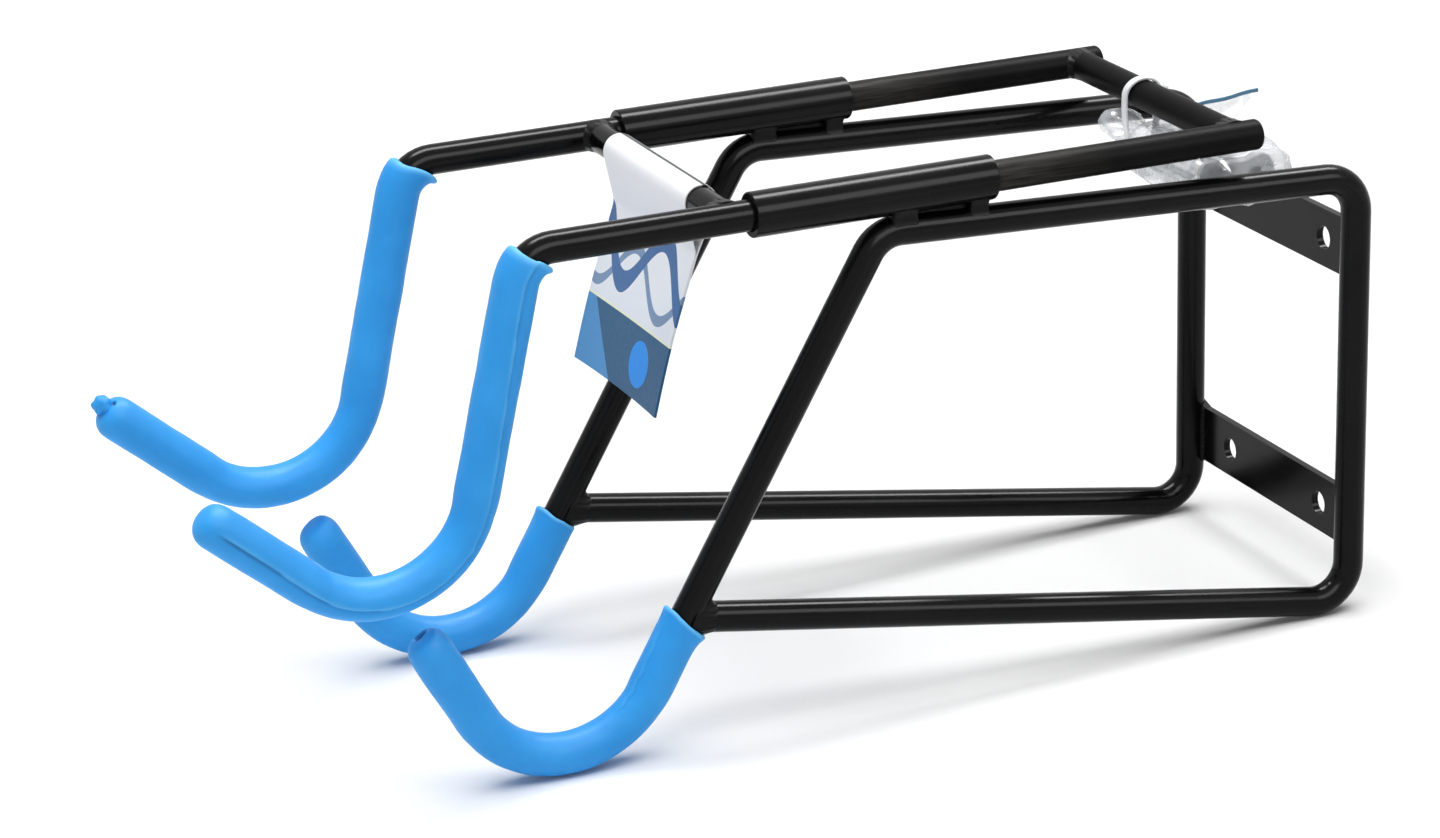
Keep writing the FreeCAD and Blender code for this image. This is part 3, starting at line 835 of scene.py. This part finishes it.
# Painted shade: the film's colour goes darker grey along its creases and pleats as the fold mask rises.
film_clear = (0.80, 0.83, 0.86)
film_crease_shade = (0.42, 0.46, 0.50)
film, film_tree, film_shader = new_material("clear_film", Specular_IOR_Level=0.8)
film_grain = add_grain(film_tree, 90.0, 260.0, 700.0)
film_fold = add_node(film_tree, "ShaderNodeAttribute", attribute_name="film_fold", attribute_type="GEOMETRY")
film_veil = add_node(film_tree, "ShaderNodeMath", operation="MAXIMUM")
film_tone = blend_colours(film_tree, film_fold.outputs["Fac"], film_clear, film_crease_shade)
wire(film_tree,
     (film_tone, film_shader.inputs["Base Color"]),
     (spread(film_tree, film_grain.outputs["Speck"], 0.05, 0.16, 0.3, 0.7), film_shader.inputs["Roughness"]),
     (spread(film_tree, film_grain.outputs["Blotch"], 0.26, 0.56, 0.42, 0.7), film_veil.inputs[0]),
     (spread(film_tree, film_fold.outputs["Fac"], 0.24, 0.74), film_veil.inputs[1]),
     (film_veil.outputs[0], film_shader.inputs["Alpha"]))
add_bump(film_tree, film_shader, film_grain.outputs["Grain"], 0.2, 0.0006)

# Stations along the bag: X, middle Y and Z, half depth, half height, squareness.
bag_stations = [
    (-33.0, -61.0, 97.6, 1.5, 1.2, 2.0),
    (-31.6, -61.0, 97.7, 6.6, 4.8, 2.0),
    (-27.0, -61.0, 97.4, 10.2, 7.4, 2.0),
    (-20.0, -61.0, 97.2, 8.8, 6.6, 2.0),
    (-13.0, -61.0, 97.1, 4.4, 4.4, 2.0),
    (-7.4, -61.0, 97.1, 4.4, 4.4, 2.0),
    (-5.2, -54.0, 95.0, 14.0, 8.4, 2.6),
    (-3.8, -49.3, 92.5, 21.0, 11.0, 4.5),
    (8.0, -49.0, 92.4, 21.3, 11.1, 5.0),
    (30.0, -49.0, 92.4, 21.3, 11.1, 5.0),
    (50.6, -49.0, 92.3, 21.0, 10.9, 4.5),
    (52.0, -49.0, 92.2, 15.0, 8.0, 3.0),
    (52.6, -49.0, 92.2, 2.0, 1.0, 2.0),
]
neck_x = -10.2
neck_reach = 9.0
large_pitch = 21.0
small_pitch = 9.0


def bag_station(x):
    """The bag's middle and half sizes at a place along it."""
    for first, second in zip(bag_stations, bag_stations[1:]):
        if x <= second[0]:
            share = max(0.0, (x - first[0]) / (second[0] - first[0]))
            return [low + (high - low) * share for low, high in zip(first[1:], second[1:])]
    return bag_stations[-1][1:]


def crease(place, pitch):
    """Sharp ridges at about that pitch, from 0 to 1."""
    return 1 - min(1.0, abs(noise.noise(place / pitch)) * 2.6)


deselect_all()
bag_start, bag_end = bag_stations[0][0], bag_stations[-1][0]
bag_reach = bag_end - bag_start
bpy.ops.mesh.primitive_cylinder_add(vertices=110, radius=mm, depth=bag_reach * mm, end_fill_type="NOTHING")
bag = bpy.context.object
cut_lengthwise(bag, bag_reach, 104)
bag_folds = bag.data.attributes.new("film_fold", "FLOAT", "POINT")
for vertex in bag.data.vertices:
    x = bag_start + (vertex.co.z / mm + bag_reach / 2)
    turn = math.atan2(vertex.co.y, vertex.co.x)
    middle_y, middle_z, half_y, half_z, square = bag_station(x)
    c, s = math.cos(turn), math.sin(turn)
    reach = (abs(c) ** square + abs(s) ** square) ** (-1 / square)
    place = Vector((x, middle_y + half_y * reach * c, middle_z + half_z * reach * s))
    gathered = math.exp(-((x - neck_x) / neck_reach) ** 2)
    pleat = math.cos(9 * turn + 2.5 * noise.noise(Vector((x * 0.12, c, s)))) * gathered
    large, small = crease(place, large_pitch), crease(place + Vector((40, 9, 3)), small_pitch)
    fold = 2.1 * large + 0.7 * small - 1.5
    place += Vector((0, c, s)) * (fold * (1 - 0.8 * gathered) + 0.75 * pleat)
    vertex.co = place * mm
    # The fold mask makes the film less clear and paints shade along its creases and pleats.
    bag_folds.data[vertex.index].value = max(0.0, max(large ** 4, 0.7 * small ** 5, 0.8 * pleat) - 0.15)
bpy.ops.object.shade_smooth_by_angle(angle=math.radians(50))

deselect_all()
bpy.ops.mesh.primitive_grid_add(x_subdivisions=26, y_subdivisions=12, size=1)
mouth = bpy.context.object
for vertex in mouth.data.vertices:
    along, up = vertex.co.x + 0.5, vertex.co.y + 0.5
    low = Vector((3.0 + 5.0 * along, -47.0 + 17.0 * along, 101.5))
    high = Vector((6.5 - 3.0 * along, -46.0 + 30.0 * along, 110.2 + 1.6 * along))
    place = low.lerp(high, up)
    place.x += 2.0 * (crease(place, small_pitch) - 0.5) * math.sin(math.pi * up)
    vertex.co = place * mm
bpy.ops.object.shade_smooth_by_angle(angle=math.radians(16))
dress(join_as("clear_bag", [bag, mouth]), film, "slider", "bag_film", "fixings_bag")

seal_deep = (0.03, 0.12, 0.20)
seal_blue = (0.045, 0.19, 0.33)
seal, seal_tree, seal_shader = new_material("blue_seal_strip", Specular_IOR_Level=0.5, Roughness=0.35)
seal_grain = add_grain(seal_tree, 90.0, 1800.0, 600.0)
seal_blotch = spread(seal_tree, seal_grain.outputs["Blotch"], 0, 1, 0.35, 0.65)
wire(seal_tree, (blend_colours(seal_tree, seal_blotch, seal_deep, seal_blue), seal_shader.inputs["Base Color"]))
add_bump(seal_tree, seal_shader, seal_grain.outputs["Grain"], 0.1, 0.0001)
strip_thick = 0.5
strip_height = 1.5
strip = add_block((mm, mm, mm))
cut_all(15)
for vertex in strip.data.vertices:
    along = vertex.co.y / mm + 0.5
    wave = 0.5 * math.sin(3.0 * math.pi * along)
    place = Vector((6.5 - 3.0 * along + strip_thick * vertex.co.x / mm, -46.5 + 31.5 * along,
                    110.6 + 1.6 * along + wave * 0.5 + strip_height * vertex.co.z / mm))
    vertex.co = place * mm
round_edges(strip, 0.15, 2, 60)
strip.name = "bag_seal_strip"
dress(strip, seal, "slider", "bag_film")


# Fixings in the bag
# Zinc-plated hexagon-head screws and washers with grey nylon plugs, one set for each wall hole.
# They lie loose in the bag and keep the shapes they were packed with.

zinc = grained_skin(
    "zinc_plate", (150.0, 2600.0, 900.0), (0.50, 0.52, 0.54), (0.70, 0.71, 0.71), (0.25, 0.45), 0.12,
    Metallic=1.0)
plug_nylon = grained_skin(
    "grey_nylon", (90.0, 2200.0, 900.0), (0.40, 0.41, 0.42), (0.54, 0.55, 0.56), (0.4, 0.55), 0.1,
    Specular_IOR_Level=0.4)
finish_node("wall_screws", zinc)
finish_node("wall_washers", zinc)
finish_node("wall_plugs", plug_nylon)


# Hang tag
# One printed card, laminated, folded over the front cross bar; its two flaps are glued together below.
# The print is plain shapes: a slate foot with a wedge and a disc, a pale line over it, and two waves on a
# pale ground. A dark stripe just behind the top of the fold is painted shade along the fold's far edge.

bar_middle = (bar_places["front"], arm_z)
card_r = 6.55
card_thick = 0.48
card_width = 80.0
card_lean = math.radians(16.5)
card_foot = (-277.3, 94.09)
card_bow = 1.1
flap_length = 64.0
flap_way = (-math.sin(card_lean), -math.cos(card_lean))
flap_across = (math.cos(card_lean), -math.sin(card_lean))


def card_run():
    """Points down one flap, over the bar and down the other, half a millimetre apart, in Y and Z."""
    def ply(distance, face):
        bow = card_bow * math.sin(math.pi * min(1.0, distance / flap_length))
        off = face * (card_thick / 2 + 0.02) - bow
        return (card_foot[0] + flap_way[0] * distance + flap_across[0] * off,
                card_foot[1] + flap_way[1] * distance + flap_across[1] * off)

    def straight(start, end):
        count = int(math.dist(start, end) * 2)
        return [
            (start[0] + (end[0] - start[0]) * step / count, start[1] + (end[1] - start[1]) * step / count)
            for step in range(1, count)
        ]

    flap_steps = range(int(flap_length * 2) + 1)
    front = [ply(flap_length - step / 2, -1) for step in flap_steps]
    rear = [ply(step / 2, 1) for step in flap_steps]
    gap_y, gap_z = card_foot[0] - bar_middle[0], card_foot[1] - bar_middle[1]
    toward = math.atan2(gap_z, gap_y)
    half = math.acos(card_r / math.hypot(gap_y, gap_z))
    first, last = toward - half, toward + half
    sweep = (first - last) % (2 * math.pi)
    steps = int(sweep * card_r * 2)
    wrap = [
        (bar_middle[0] + card_r * math.cos(first - sweep * step / steps),
         bar_middle[1] + card_r * math.sin(first - sweep * step / steps))
        for step in range(steps + 1)
    ]
    run = front + straight(front[-1], wrap[0]) + wrap + straight(wrap[-1], rear[0]) + rear
    for _ in range(14):
        run = [run[0]] + [
            tuple((before + 2 * here + after) / 4 for before, here, after in zip(*trio))
            for trio in zip(run, run[1:], run[2:])
        ] + [run[-1]]
    return run


card_points = card_run()
card_rows = len(card_points) - 1
card_reach = card_rows / 2
foot_curl = 1.3
foot_twist = 0.5
deselect_all()
bpy.ops.mesh.primitive_grid_add(x_subdivisions=24, y_subdivisions=card_rows, size=1)
card = bpy.context.object
for vertex in card.data.vertices:
    y, z = card_points[round((vertex.co.y + 0.5) * card_rows)]
    x = vertex.co.x * card_width
    low = max(0.0, 1 - (z - 32.0) / 45.0)
    curl = foot_curl * low * (x / card_width * 2) ** 2 - foot_twist * low * x / card_width
    vertex.co = Vector((x, y - curl, z)) * mm
face_outward()
apply_modifier(card, "SOLIDIFY", thickness=card_thick * mm, offset=0)
bpy.ops.object.shade_smooth_by_angle(angle=math.radians(40))
card = join_as("hang_tag_card", [card])

print_card, print_tree, print_shader = new_material("printed_card", Specular_IOR_Level=0.08)


def work(operation, first, second=0.0, third=0.0):
    """One sum on the print's sizes."""
    node = add_node(print_tree, "ShaderNodeMath", operation=operation)
    for socket, value in zip(node.inputs, (first, second, third)):
        if hasattr(value, "is_linked"):
            wire(print_tree, (value, socket))
        else:
            socket.default_value = value
    return node.outputs[0]


def both(first, second):
    """1 where two masks meet."""
    return work("MULTIPLY", first, second)


def within(value, low, high):
    """1 between two sizes, otherwise 0."""
    return both(work("GREATER_THAN", value, low), work("LESS_THAN", value, high))


def squared_gap(value, middle):
    """The square of a size's distance from a middle."""
    return work("POWER", work("SUBTRACT", value, middle), 2.0)


# Sizes on the card in millimetres: across from its middle, and up from the foot of either flap.
print_place = add_node(print_tree, "ShaderNodeUVMap")
print_axes = print_tree.nodes.new("ShaderNodeSeparateXYZ")
wire(print_tree, (print_place.outputs["UV"], print_axes.inputs["Vector"]))
across = work("MULTIPLY_ADD", print_axes.outputs["X"], card_width, -card_width / 2)
from_start = work("MULTIPLY", print_axes.outputs["Y"], card_reach)
height = work("PINGPONG", from_start, card_reach / 2)

foot_top = 27.0
picture_top = 71.0
wave_pitch = 0.105
disc_middle = (16.0, 13.5)
disc_r = 9.0


def wave_stroke(phase, swing, middle, half_width):
    """1 on a wave that runs across the card."""
    line = work("SINE", work("MULTIPLY_ADD", across, wave_pitch, phase))
    line = work("MULTIPLY_ADD", line, swing, middle)
    return work("LESS_THAN", work("ABSOLUTE", work("SUBTRACT", height, line)), half_width)


tone = blend_colours(
    print_tree, spread(print_tree, height, 0, 1, foot_top, 80), (0.76, 0.79, 0.84), (0.86, 0.87, 0.89))
picture = within(height, foot_top, picture_top)
foot = work("LESS_THAN", height, foot_top)
wedge = both(work("LESS_THAN", work("MULTIPLY_ADD", height, 0.9, across), -8.0), foot)
disc_reach = work("ADD", squared_gap(across, disc_middle[0]), squared_gap(height, disc_middle[1]))
# The last ink is painted shade: a dark stripe just behind the top of the fold.
for mask, ink in (
        (both(wave_stroke(2.3, 10.0, 43.0, 2.2), picture), (0.19, 0.29, 0.45)),
        (both(wave_stroke(0.0, 12.0, 50.0, 4.4), picture), (0.06, 0.15, 0.34)),
        (foot, (0.021, 0.10, 0.21)),
        (wedge, (0.07, 0.27, 0.55)),
        (work("LESS_THAN", disc_reach, disc_r ** 2), (0.012, 0.27, 0.80)),
        (within(height, foot_top, foot_top + 0.9), (0.78, 0.81, 0.60)),
        (within(from_start, card_reach / 2 - 0.2, card_reach / 2 + 2.2), (0.06, 0.065, 0.07))):
    tone = blend_colours(print_tree, mask, tone, ink)
print_grain = add_grain(print_tree, 60.0, 2200.0, 500.0)
wire(print_tree,
     (tone, print_shader.inputs["Base Color"]),
     (spread(print_tree, print_grain.outputs["Speck"], 0.28, 0.42, 0.3, 0.7), print_shader.inputs["Roughness"]))
add_bump(print_tree, print_shader, print_grain.outputs["Grain"], 0.06, 0.0001)
dress(card, print_card, "tag", "printed_card", "hang_tag")


# Stage
# A white floor under the rack, which keeps its shadow, and soft light from above. Two long lamps show
# only as streaks on the black bars. The camera looks from the hook side, as the photograph does.

def seen_rays(tree):
    """1 for rays from the camera, off a gloss and through a film."""
    path = tree.nodes.new("ShaderNodeLightPath")
    seen = path.outputs["Is Camera Ray"]
    for kind in ("Is Glossy Ray", "Is Transmission Ray"):
        either = add_node(tree, "ShaderNodeMath", operation="MAXIMUM")
        wire(tree, (seen, either.inputs[0]), (path.outputs[kind], either.inputs[1]))
        seen = either.outputs[0]
    return seen


floor_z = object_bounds()[0][2]
floor_tone = (0.92, 0.92, 0.92, 1)
glow_near, glow_far = (0.03, 1.0), (0.6, 1.8)
floor_paint = bpy.data.materials.new("floor_paint")
floor_paint.use_nodes = True
floor_tree = floor_paint.node_tree
floor_tree.nodes.clear()
floor_out = floor_tree.nodes.new("ShaderNodeOutputMaterial")
floor_matte = add_node(floor_tree, "ShaderNodeBsdfDiffuse", {"Color": floor_tone})
floor_glow = add_node(floor_tree, "ShaderNodeEmission", {"Color": (1, 1, 1, 1)})
floor_place = floor_tree.nodes.new("ShaderNodeTexCoord")
floor_reach = add_node(floor_tree, "ShaderNodeVectorMath", operation="LENGTH")
floor_sum = floor_tree.nodes.new("ShaderNodeAddShader")
floor_mix = floor_tree.nodes.new("ShaderNodeMixShader")
wire(floor_tree,
     (floor_place.outputs["Object"], floor_reach.inputs[0]),
     (spread(floor_tree, floor_reach.outputs["Value"], *glow_near, *glow_far), floor_glow.inputs["Strength"]),
     (floor_matte.outputs[0], floor_sum.inputs[0]),
     (floor_glow.outputs[0], floor_sum.inputs[1]),
     (seen_rays(floor_tree), floor_mix.inputs[0]),
     (floor_matte.outputs[0], floor_mix.inputs[1]),
     (floor_sum.outputs[0], floor_mix.inputs[2]),
     (floor_mix.outputs[0], floor_out.inputs["Surface"]))
deselect_all()
bpy.ops.mesh.primitive_plane_add(size=12, location=(0, 0, floor_z))
floor = bpy.context.object
floor.name = "floor"
floor.data.materials.append(floor_paint)

fill_strength = 0.22
world = bpy.data.worlds.new("studio")
bpy.context.scene.world = world
world.use_nodes = True
world_tree = world.node_tree
world_tree.nodes.clear()
world_out = world_tree.nodes.new("ShaderNodeOutputWorld")
world_fill = add_node(world_tree, "ShaderNodeBackground", {"Color": (1, 1, 1, 1), "Strength": fill_strength})
world_white = add_node(world_tree, "ShaderNodeBackground", {"Color": (1, 1, 1, 1), "Strength": 1.0})
world_mix = world_tree.nodes.new("ShaderNodeMixShader")
wire(world_tree,
     (seen_rays(world_tree), world_mix.inputs[0]),
     (world_fill.outputs[0], world_mix.inputs[1]),
     (world_white.outputs[0], world_mix.inputs[2]),
     (world_mix.outputs[0], world_out.inputs["Surface"]))


def soft_lamp(name, place, aim, size, power):
    """A soft box that faces a point, its second size along the rack's length."""
    lamp = bpy.data.lights.new(name, "AREA")
    lamp.shape = "RECTANGLE"
    lamp.size, lamp.size_y = size
    lamp.energy = power
    holder = bpy.data.objects.new(name, lamp)
    bpy.context.scene.collection.objects.link(holder)
    away = (Vector(place) - Vector(aim)).normalized()
    level = Vector((0, 1, 0)).cross(away).normalized()
    turned = Matrix((level, away.cross(level), away)).transposed().to_4x4()
    holder.matrix_world = Matrix.Translation(place) @ turned
    return holder


rack_middle = (0, -0.23, 0.02)
sheen_aim = (0.064, 0.22, 0.114)
top_box = soft_lamp("top_box", (0.15, -0.35, 1.9), rack_middle, (2.4, 2.4), 66.0)
top_box.visible_glossy = False
near_sheen = soft_lamp("near_sheen", (1.07, 0.22, 0.857), sheen_aim, (0.6, 1.8), 22.0)
far_sheen = soft_lamp("far_sheen", (-0.307, 0.22, 1.255), sheen_aim, (0.36, 1.8), 53.0)
near_sheen.visible_diffuse = False
far_sheen.visible_diffuse = False

camera_place = (1.360145, -0.828534, 0.548878)
camera_angles = (67.0716, 19.9815, -1.9662)
camera_data = bpy.data.cameras.new("photo_camera")
camera_data.sensor_width = 36.0
camera_data.lens = 100.80
camera = bpy.data.objects.new("photo_camera", camera_data)
bpy.context.scene.collection.objects.link(camera)
turn, tilt, roll = (math.radians(angle) for angle in camera_angles)
back = Vector((math.sin(turn) * math.cos(tilt), -math.cos(turn) * math.cos(tilt), math.sin(tilt)))
level = Vector((math.cos(turn), math.sin(turn), 0))
upright = back.cross(level)
rolled = Matrix((
    math.cos(roll) * level + math.sin(roll) * upright,
    math.cos(roll) * upright - math.sin(roll) * level,
    back)).transposed().to_4x4()
camera.matrix_world = Matrix.Translation(camera_place) @ rolled
bpy.context.scene.camera = camera
bpy.context.scene.view_settings.view_transform = "Standard"
